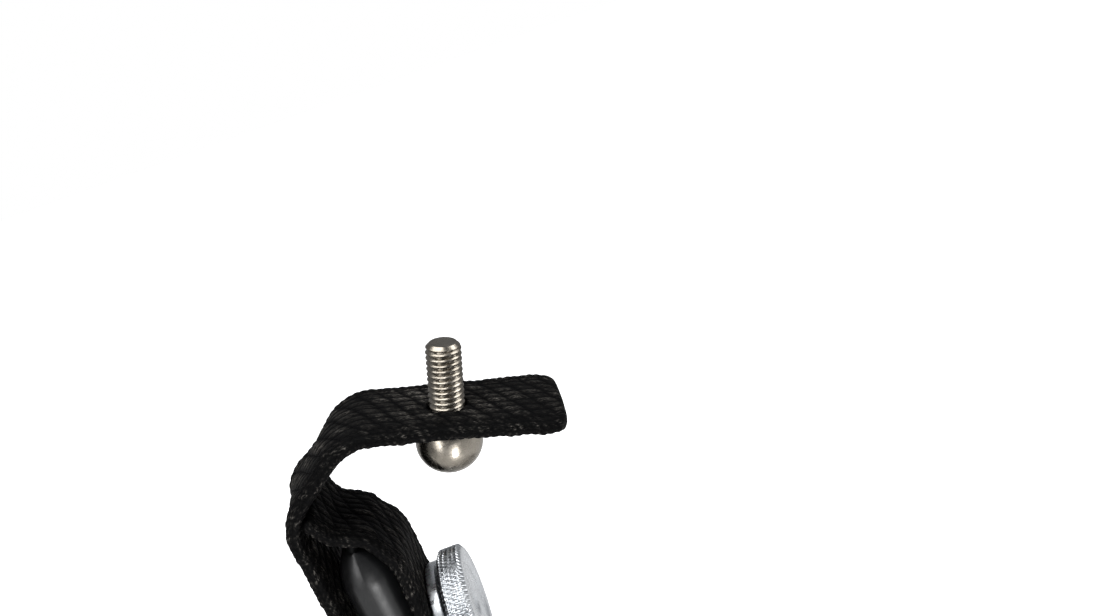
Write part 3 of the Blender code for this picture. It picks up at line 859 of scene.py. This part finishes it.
def spine_points():
    """Rings of the spine from its foot to the top of its nose, with the panels and the mould line."""
    middle = SPINE_THICK / 2
    heights = [SPINE_LOW.z + SPINE_FOOT * (1 - math.cos(math.radians(a))) for a in range(4, 91, 6)]
    heights += list(np.arange(SPINE_LOW.z + SPINE_FOOT + SPINE_ROW, SPINE_SHOULDER, SPINE_ROW))
    heights.append(SPINE_SHOULDER)
    rings = [spine_ring(z, 0, SPINE_THICK, spine_half_width(z)) for z in heights]
    for angle in np.linspace(3, 88, 28):
        share = math.sin(math.radians(angle))
        half_x = middle * math.cos(math.radians(angle))
        rings.append(spine_ring(SPINE_SHOULDER + (SPINE_HIGH.z - SPINE_SHOULDER) * share,
                                middle - half_x, middle + half_x,
                                SPINE_HALF_TOP - NOSE_NARROWING * share ** 2))
    points = np.array(rings)
    x, y, z = (points[..., i] for i in range(3))
    x -= np.where(x > SPINE_THICK - 0.05, sum(panel_depth(y, z, *panel) for panel in PANELS), 0)
    y += np.where(np.abs(x - middle) < 0.5, MOULD_LINE * np.sign(y), 0)
    return points


def spine_cutters():
    """Holes for the sleeves, and sockets for the four ends of the rods."""
    outline = [(0, -2), (SLEEVE_HOLE_R, -2), (SLEEVE_HOLE_R, SPINE_THICK + 2), (0, SPINE_THICK + 2)]
    cutters = [cutter(outline, (0, 0, height), X_AXIS) for height in (UPPER_Z, LOWER_Z)]
    outline = [(0, -GAP), (ROD_R + GAP, -GAP), (ROD_R + GAP, SOCKET_LONG), (0, SOCKET_LONG)]
    for side in (-1, 1):
        corners = rod_corners(side)
        for inner, mouth in ((corners[0], corners[1]), (corners[-1], corners[-2])):
            cutters.append(cutter(outline, inner, (Vector(mouth) - Vector(inner)).normalized()))
    return cutters


def make_spine(plastic):
    points = spine_points()
    cloud = np.concatenate([points.reshape(-1, 3), points[:1].mean(1), points[-1:].mean(1)])
    shell = cloud, capped_tube(*points.shape[:2])
    spine = tidy_normals(build("moulded_spine", [shell], plastic))
    boolean_cut(spine, spine_cutters())
    place_piece(spine, "cage", "spine")


# ------------ rods, grips, clips

GRIP_R = 3.8
GRIP_BORE_R = ROD_R + 0.08
GRIP_LIP = 0.6                # rounding of a grip's ends
RIB_PITCH = 1.6
RIB_DEEP = 0.16
RING_GRIP = (76.0, 108.0)     # angles round the ring, in degrees
SHELF_GRIP = (64.0, 79.0)     # x along the shelf

BLOCK_EDGE = 1.3              # rounding of the bridges
GROOVE_R = ROD_R + 0.12
MOUTH_HALF = ROD_R - 0.35     # narrower than the rod, so that the bridge snaps on
RECESS = (4.2, 2.6, 0.6)      # front bridge: inset from the rods, inset in height, depth
SHELF_SLOTS = (-2.6, 0.0, 2.6)
SLOT_SIZE = (0.45, 8.2, 0.45)    # half width, half length, depth

BUMPER_EDGE = 1.6
BUMPER_GROOVES = (0.24, 0.5, 0.76)    # shares of its height
PAD_BORE_R = 3.2


def ring_point(angle, side, radius=RING_R):
    """Point on the ring at an angle from the spine, on the right (1) or the left (-1)."""
    x = BOTTLE_X - radius * math.cos(angle)
    return (x, side * radius * math.sin(angle), RING_Z - RING_FALL * (x - SPINE_THICK / 2))


def rod_corners(side):
    """Corners of one rod's straight runs, from its ring socket to its shelf socket."""
    middle_x = SPINE_THICK / 2
    tangent = ring_point(RING_FROM, 1)
    first_y = tangent[1] - (tangent[0] - middle_x) * math.cos(RING_FROM) / math.sin(RING_FROM)
    outer = ring_point((RING_FROM + RING_TO) / 2, side, RING_R / math.cos((RING_TO - RING_FROM) / 2))
    leave = ring_point(RING_TO, 1)
    front_x = leave[0] + ROD_BENDS[2] * math.sin(RING_TO)
    front_y = side * (leave[1] + ROD_BENDS[2] * math.cos(RING_TO))
    front_z = RING_Z - RING_FALL * (front_x - middle_x)
    return [(middle_x, side * RING_END_Y, RING_Z), (middle_x, side * first_y, RING_Z), outer,
            (front_x, front_y, front_z), (front_x, front_y, SHELF_Z),
            (SHELF_END[0], side * SHELF_END[1], SHELF_Z)]


def make_rod(label, side, coat):
    points = fillet_path(rod_corners(side), ROD_BENDS)
    piece = tidy_normals(build(label + "_bent_rod", [swept_shell(points, ROD_R)], coat))
    place_piece(piece, "cage", label + "_rod")


def grip_shell(points, columns=40):
    """Rubber tube with rounded lips and shallow ribs round it."""
    points, reach = evenly(points, 0.2)
    from_end = np.minimum(reach, reach[-1] - reach)
    lip = np.sqrt(np.clip(1 - np.clip(1 - from_end / GRIP_LIP, 0, 1) ** 2, 0.0, 1))
    groove = RIB_DEEP * np.clip(np.cos(reach * 2 * math.pi / RIB_PITCH) - 0.55, 0, 1) / 0.45
    groove = groove * (from_end > 2 * GRIP_LIP)
    outside = GRIP_R - GRIP_LIP + GRIP_LIP * lip - groove
    inside = np.full(len(points), GRIP_BORE_R)
    ahead = directions(points)
    rows = []
    for radii, order in ((outside, 1), (inside, -1)):
        for point, way, radius in list(zip(points, ahead, radii))[::order]:
            across = np.cross(way, [0, 0, 1.0])
            across /= np.linalg.norm(across)
            rows.append(circle(point, radius, across, np.cross(across, way), columns))
    return np.concatenate(rows), looped_tube(len(rows), columns)


def shelf_point(side, x):
    """Point on a rod's run along the shelf."""
    front, rear = (Vector(point) for point in rod_corners(side)[-2:])
    way = (rear - front).normalized()
    return front + way * ((x - front.x) / way.x)


def make_grips(soft):
    for label, side in (("left", -1), ("right", 1)):
        arc = [ring_point(math.radians(angle), side) for angle in np.linspace(*RING_GRIP, 25)]
        run = [shelf_point(side, x) for x in SHELF_GRIP]
        for place, route in (("ring", arc), ("shelf", run)):
            piece = tidy_normals(build(f"{label}_{place}_sleeve", [grip_shell(route)], soft, sharp=50))
            place_piece(piece, "cage", f"{label}_{place}_grip")


def rounded_block(name, low, high, edge, finish, segments=5):
    """Box between two corners, its edges rounded."""
    bm = bmesh.new()
    bmesh.ops.create_cube(bm, size=1.0)
    size = Vector(high) - Vector(low)
    bmesh.ops.scale(bm, vec=size * MM, verts=bm.verts)
    bmesh.ops.translate(bm, vec=(Vector(high) + Vector(low)) / 2 * MM, verts=bm.verts)
    bmesh.ops.bevel(bm, geom=list(bm.edges), offset=edge * MM, segments=segments, affect="EDGES",
                    profile=0.5)
    mesh = bpy.data.meshes.new(name)
    bm.to_mesh(mesh)
    bm.free()
    mesh.materials.append(finish)
    made = bpy.data.objects.new(name, mesh)
    bpy.context.collection.objects.link(made)
    return made


def groove_cutters(start, way, length, mouth):
    """A rod's groove, and the mouth on one side through which the rod snaps in."""
    way = Vector(way).normalized()
    bore = cutter([(0, 0), (GROOVE_R, 0), (GROOVE_R, length), (0, length)], start, way)
    slot = rounded_block("cutter", (-MOUTH_HALF, 0, 0), (MOUTH_HALF, 8, length), 0.01, HIDDEN, 1)
    across = Vector(mouth).cross(way).normalized()
    up = way.cross(across)
    turn = Matrix((across, up, way)).transposed()
    slot.matrix_world = Matrix.Translation(Vector(start) * MM) @ turn.to_4x4()
    bpy.context.view_layer.update()
    return [bore, slot]


def make_front_bridge(plastic):
    """Bridge that ties the rods in front of the bottle, recessed on its outer face."""
    front_x, front_y, _ = rod_corners(1)[3]
    low, high = millimetres("front_clip")
    bridge = rounded_block("front_bridge", low, high, BLOCK_EDGE, plastic)
    cutters = []
    for side in (-1, 1):
        start = (front_x, side * front_y, low.z - 5)
        cutters += groove_cutters(start, (0, 0, 1), high.z - low.z + 10, (-1, 0, 0))
    inset_y, inset_z, deep = RECESS
    cutters.append(rounded_block("cutter", (high.x - deep, -front_y + inset_y, low.z + inset_z),
                                 (high.x + 3, front_y - inset_y, high.z - inset_z), 0.55, HIDDEN, 4))
    boolean_cut(bridge, cutters)
    place_piece(bridge, "cage", "front_clip")


def make_shelf_bridge(plastic):
    """Bridge that ties the rods under the bottle, with slots across its top."""
    low, high = millimetres("shelf_clip")
    middle = (low.x + high.x) / 2
    bridge = rounded_block("shelf_bridge", low, high, BLOCK_EDGE, plastic)
    cutters = []
    for side in (-1, 1):
        way = shelf_point(side, low.x) - shelf_point(side, high.x)
        cutters += groove_cutters(shelf_point(side, high.x + 5), way, high.x - low.x + 10, (0, 0, -1))
    half_x, half_y, deep = SLOT_SIZE
    for shift in SHELF_SLOTS:
        cutters.append(rounded_block("cutter", (middle + shift - half_x, -half_y, high.z - deep),
                                     (middle + shift + half_x, half_y, high.z + 2), 0.2, HIDDEN, 2))
    boolean_cut(bridge, cutters)
    place_piece(bridge, "cage", "shelf_clip")


def make_rear_bumper(soft):
    """Rubber block on the spine, hollowed for the bottle and grooved across."""
    low, high = millimetres("rear_bumper")
    bumper = rounded_block("bottle_bumper", low, high, BUMPER_EDGE, soft, 6)
    span = high.z - low.z
    hollow = [(0, 0), (BOTTLE_R, 0), (BOTTLE_R, span * 2), (0, span * 2)]
    cutters = [cutter(hollow, (BOTTLE_X, 0, low.z - span / 2), (0, 0, 1), 220)]
    groove = [(BOTTLE_R - 1, -0.5), (BOTTLE_R + 0.8, -0.5), (BOTTLE_R + 0.8, 0.5), (BOTTLE_R - 1, 0.5),
              (BOTTLE_R - 1, -0.49)]
    for share in BUMPER_GROOVES:
        cutters.append(cutter(groove, (BOTTLE_X, 0, low.z + span * share), (0, 0, 1), 220))
    boolean_cut(bumper, cutters)
    place_piece(bumper, "cage", "rear_bumper")


def make_lower_pad(soft):
    low, high = millimetres("lower_pad")
    profile = flat_ring(PAD_BORE_R, (high.z - low.z) / 2, high.x - low.x,
                        bore_break=0.15, rim_break=0.5, steps=6)
    shell = turned_shell(profile, 96, (low.x, 0, LOWER_Z), X_AXIS)
    pad = tidy_normals(build("levelling_pad", [shell], soft))
    place_piece(pad, "cage", "lower_pad")


# ------------ stage

BIKE_TILT = math.radians(17.0)       # lean of the spine from upright on the bicycle
CAMERA_AZIMUTH = math.radians(-8.2)
CAMERA_PITCH = math.radians(19.8)
CAMERA_ROLL = math.radians(-1.45)
CAMERA_FROM_SEAT = Vector((-1.4, -109.5, 52.6))   # along the tube above, away, and up
CAMERA_LENS = 28.43


def on_bike(vector):
    """Turns a direction given along the level tube above into the part's frame."""
    return Matrix.Rotation(BIKE_TILT, 3, "Y") @ Vector(vector)


def make_camera():
    level, east, north = math.cos(CAMERA_PITCH), math.cos(CAMERA_AZIMUTH), math.sin(CAMERA_AZIMUTH)
    back = Vector((north * level, -east * level, math.sin(CAMERA_PITCH)))
    right = Vector((east, north, 0))
    up = back.cross(right)
    rolled = right * math.cos(CAMERA_ROLL) + up * math.sin(CAMERA_ROLL)
    up = up * math.cos(CAMERA_ROLL) - right * math.sin(CAMERA_ROLL)
    axes = [on_bike(vector) for vector in (rolled, up, back)]
    place = SEAT_POINT + on_bike(CAMERA_FROM_SEAT)
    data = bpy.data.cameras.new("camera")
    data.lens = CAMERA_LENS
    data.clip_start = 0.005
    camera = bpy.data.objects.new("camera", data)
    camera.matrix_world = Matrix.Translation(place * MM) @ Matrix(axes).transposed().to_4x4()
    bpy.context.collection.objects.link(camera)
    bpy.context.scene.camera = camera


def area_light(name, place, target, size, power):
    """White rectangular lamp, in metres and watts, that the camera doesn't see."""
    data = bpy.data.lights.new(name, "AREA")
    data.shape = "RECTANGLE"
    data.size, data.size_y = size
    data.energy = power
    lamp = bpy.data.objects.new(name, data)
    lamp.location = place
    lamp.rotation_euler = (Vector(target) - Vector(place)).to_track_quat("-Z", "Y").to_euler()
    bpy.context.collection.objects.link(lamp)
    lamp.visible_camera = False


def make_world():
    """Soft grey light all round, seen as white by the camera."""
    world = bpy.data.worlds.new("studio")
    bpy.context.scene.world = world
    world.use_nodes = True
    nodes, links = world.node_tree.nodes, world.node_tree.links
    soft = nodes["Background"]
    white = nodes.new("ShaderNodeBackground")
    for shader, colour, strength in ((soft, (0.8, 0.82, 0.85, 1), 0.3), (white, (1, 1, 1, 1), 1.0)):
        shader.inputs["Color"].default_value = colour
        shader.inputs["Strength"].default_value = strength
    path = nodes.new("ShaderNodeLightPath")
    mix = nodes.new("ShaderNodeMixShader")
    links.new(path.outputs["Is Camera Ray"], mix.inputs["Fac"])
    links.new(soft.outputs["Background"], mix.inputs[1])
    links.new(white.outputs["Background"], mix.inputs[2])
    links.new(mix.outputs["Shader"], nodes["World Output"].inputs["Surface"])


def make_stage():
    make_world()
    bpy.ops.mesh.primitive_plane_add(size=6, location=(0, 0, SPINE_LOW.z * MM - 0.0005))
    floor = bpy.context.object
    floor.name = "floor"
    floor.data.materials.append(floor_paint())
    area_light("overhead", (-0.1, -0.15, 0.6), (0.03, 0, 0), (0.6, 0.4), 3.2)
    area_light("left_window", (-0.35, -0.5, 0.12), (0.02, 0, 0.04), (0.2, 0.3), 0.9)
    area_light("right_rim", (0.5, 0.05, 0.35), (0.03, 0, 0.03), (0.2, 0.4), 1.2)
    area_light("low_front", (0.05, -0.24, -0.07), (0.01, 0, 0.04), (0.07, 0.06), 0.22)
    bpy.context.scene.view_settings.view_transform = "Standard"


# ------------ assembly

def main():
    make_camera()
    make_stage()
    plastic, coat, matt, soft = gloss_black(), rod_coat(), matt_plastic(), rubber()
    cloth, bright, steel = webbing_cloth(), zinc(), stainless()
    make_straps(cloth)
    make_spine(plastic)
    for label, z in (("upper", UPPER_Z), ("lower", LOWER_Z)):
        make_thumb_screw(label, z, bright)
        low, high = millimetres(label + "_washer")
        make_washer(label + "_collar", label + "_washer", high.x - low.x, (low.x, 0, z), X_AXIS,
                    bright)
        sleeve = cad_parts[label + "_sleeve"]
        sleeve.data.materials.clear()
        sleeve.data.materials.append(bright)
    place = SEAT_POINT - TAB_NORMAL * (WEB_THICK + GAP + DOME_WASHER_THICK)
    make_washer("thin_washer", "dome_washer", DOME_WASHER_THICK, place, TAB_NORMAL, steel)
    make_dome_screw(steel)
    for label, side in (("left", -1), ("right", 1)):
        make_rod(label, side, coat)
    make_grips(soft)
    make_front_bridge(matt)
    make_shelf_bridge(matt)
    make_rear_bumper(soft)
    make_lower_pad(soft)


main()
